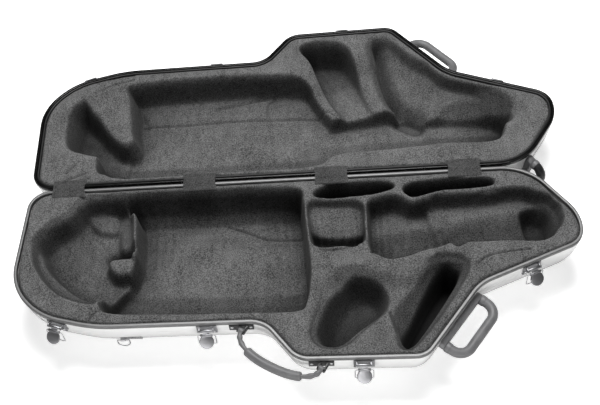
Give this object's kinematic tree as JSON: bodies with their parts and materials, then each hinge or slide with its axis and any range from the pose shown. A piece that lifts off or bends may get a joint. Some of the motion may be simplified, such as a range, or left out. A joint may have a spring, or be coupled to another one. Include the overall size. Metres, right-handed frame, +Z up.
{
  "type": "saxophone case",
  "caption": "Shaped hard case for a baritone saxophone, shown open, with moulded plush compartments, hinged lid, draw latches, a carrying handle and loop handles.",
  "frame": {"origin": "a point on the flat floor of the base, 0.19 m in front of the hinge axis", "axes": "+X along the hinge axis toward the narrow end, +Y from the base toward the opened lid, +Z up out of the open halves"},
  "size_m": [1.1615, 0.9318, 0.13],
  "materials": {
    "plush": "short dark grey pile",
    "rubber_grey": "satin grey",
    "fitting_plastic": "dark grey",
    "rim_alloy": "satin",
    "shell_white": "glossy white",
    "latch_metal": "dark plated",
    "hinge_steel": "bright",
    "rim_black": "satin black",
    "seal_rubber": "matt black"
  },
  "bodies": {
    "base": {"base_lining": "plush", "base_loop": "rubber_grey", "base_loop_bar": "fitting_plastic", "base_rim": "rim_alloy", "base_shell": "shell_white", "base_strap_bracket": "latch_metal", "handle_foot_left": "fitting_plastic", "handle_foot_right": "fitting_plastic", "hinge_1_base_leaf": "hinge_steel", "hinge_1_pin": "hinge_steel", "hinge_2_base_leaf": "hinge_steel", "hinge_2_pin": "hinge_steel", "hinge_3_base_leaf": "hinge_steel", "hinge_3_pin": "hinge_steel", "hinge_4_base_leaf": "hinge_steel", "hinge_4_pin": "hinge_steel", "latch_1_plate": "latch_metal", "latch_2_plate": "latch_metal", "latch_3_plate": "latch_metal", "latch_4_plate": "latch_metal"},
    "lid": {"hinge_1_cover": "plush", "hinge_1_lid_leaf": "hinge_steel", "hinge_2_cover": "plush", "hinge_2_lid_leaf": "hinge_steel", "hinge_3_cover": "plush", "hinge_3_lid_leaf": "hinge_steel", "hinge_4_cover": "plush", "hinge_4_lid_leaf": "hinge_steel", "latch_1_catch": "latch_metal", "latch_2_catch": "latch_metal", "latch_3_catch": "latch_metal", "latch_4_catch": "latch_metal", "lid_lining": "plush", "lid_loop": "rubber_grey", "lid_loop_bar": "fitting_plastic", "lid_rim": "rim_black", "lid_seal": "seal_rubber", "lid_shell": "shell_white", "lid_strap_bracket": "latch_metal", "tip_loop": "rubber_grey", "tip_loop_bar": "fitting_plastic"},
    "base_ring_body": {"base_strap_ring": "latch_metal"},
    "handle_body": {"handle_core": "fitting_plastic", "handle_grip": "rubber_grey"},
    "latch_1_bail_body": {"latch_1_bail": "latch_metal"},
    "latch_1_lever_body": {"latch_1_lever": "latch_metal"},
    "latch_2_bail_body": {"latch_2_bail": "latch_metal"},
    "latch_2_lever_body": {"latch_2_lever": "latch_metal"},
    "latch_3_bail_body": {"latch_3_bail": "latch_metal"},
    "latch_3_lever_body": {"latch_3_lever": "latch_metal"},
    "latch_4_bail_body": {"latch_4_bail": "latch_metal"},
    "latch_4_lever_body": {"latch_4_lever": "latch_metal"},
    "lid_ring_body": {"lid_strap_ring": "latch_metal"}
  },
  "joints": [
    {"name": "lid_hinge", "type": "hinge", "parent": "base", "child": "lid", "pos_m": [0, 0.19, 0.125], "axis": [-1, 0, 0], "range_deg": [-180, 0], "deforming": ["hinge_1_cover", "hinge_2_cover", "hinge_3_cover", "hinge_4_cover"]},
    {"name": "latch_1_lever_pivot", "type": "hinge", "parent": "base", "child": "latch_1_lever_body", "pos_m": [-0.45756, -0.14685, 0.11], "axis": [-0.9373, 0.3485, 0], "range_deg": [-28, 70]},
    {"name": "latch_1_bail_pivot", "type": "hinge", "parent": "latch_1_lever_body", "child": "latch_1_bail_body", "pos_m": [-0.45957, -0.15227, 0.10311], "axis": [0.9373, -0.3485, 0], "range_deg": [-202, 0]},
    {"name": "latch_2_lever_pivot", "type": "hinge", "parent": "base", "child": "latch_2_lever_body", "pos_m": [-0.15728, -0.17361, 0.11], "axis": [-0.9998, 0.021, 0], "range_deg": [-28, 70]},
    {"name": "latch_2_bail_pivot", "type": "hinge", "parent": "latch_2_lever_body", "child": "latch_2_bail_body", "pos_m": [-0.1574, -0.17939, 0.10311], "axis": [0.9998, -0.021, 0], "range_deg": [-202, 0]},
    {"name": "latch_3_lever_pivot", "type": "hinge", "parent": "base", "child": "latch_3_lever_body", "pos_m": [0.14353, -0.26478, 0.11], "axis": [-0.9996, 0.0275, 0], "range_deg": [-28, 70]},
    {"name": "latch_3_bail_pivot", "type": "hinge", "parent": "latch_3_lever_body", "child": "latch_3_bail_body", "pos_m": [0.14337, -0.27057, 0.10311], "axis": [0.9996, -0.0275, 0], "range_deg": [-202, 0]},
    {"name": "latch_4_lever_pivot", "type": "hinge", "parent": "base", "child": "latch_4_lever_body", "pos_m": [0.49179, -0.06815, 0.11], "axis": [-0.9222, -0.3866, 0], "range_deg": [-28, 70]},
    {"name": "latch_4_bail_pivot", "type": "hinge", "parent": "latch_4_lever_body", "child": "latch_4_bail_body", "pos_m": [0.49402, -0.07349, 0.10311], "axis": [0.9222, 0.3866, 0], "range_deg": [-202, 0]},
    {"name": "handle_swing", "type": "hinge", "parent": "base", "child": "handle_body", "pos_m": [-0.08917, -0.1767, 0.109], "axis": [-0.8599, 0.5104, 0], "range_deg": [-50, 95]},
    {"name": "base_ring_swing", "type": "hinge", "parent": "base", "child": "base_ring_body", "pos_m": [-0.33075, -0.15476, 0.0601], "axis": [-0.9997, 0.0232, 0], "range_deg": [-8, 110]},
    {"name": "lid_ring_swing", "type": "hinge", "parent": "lid", "child": "lid_ring_body", "pos_m": [-0.55652, 0.37, 0.09637], "axis": [-0.0251, 0.9997, 0], "range_deg": [-4, 110]}
  ]
}
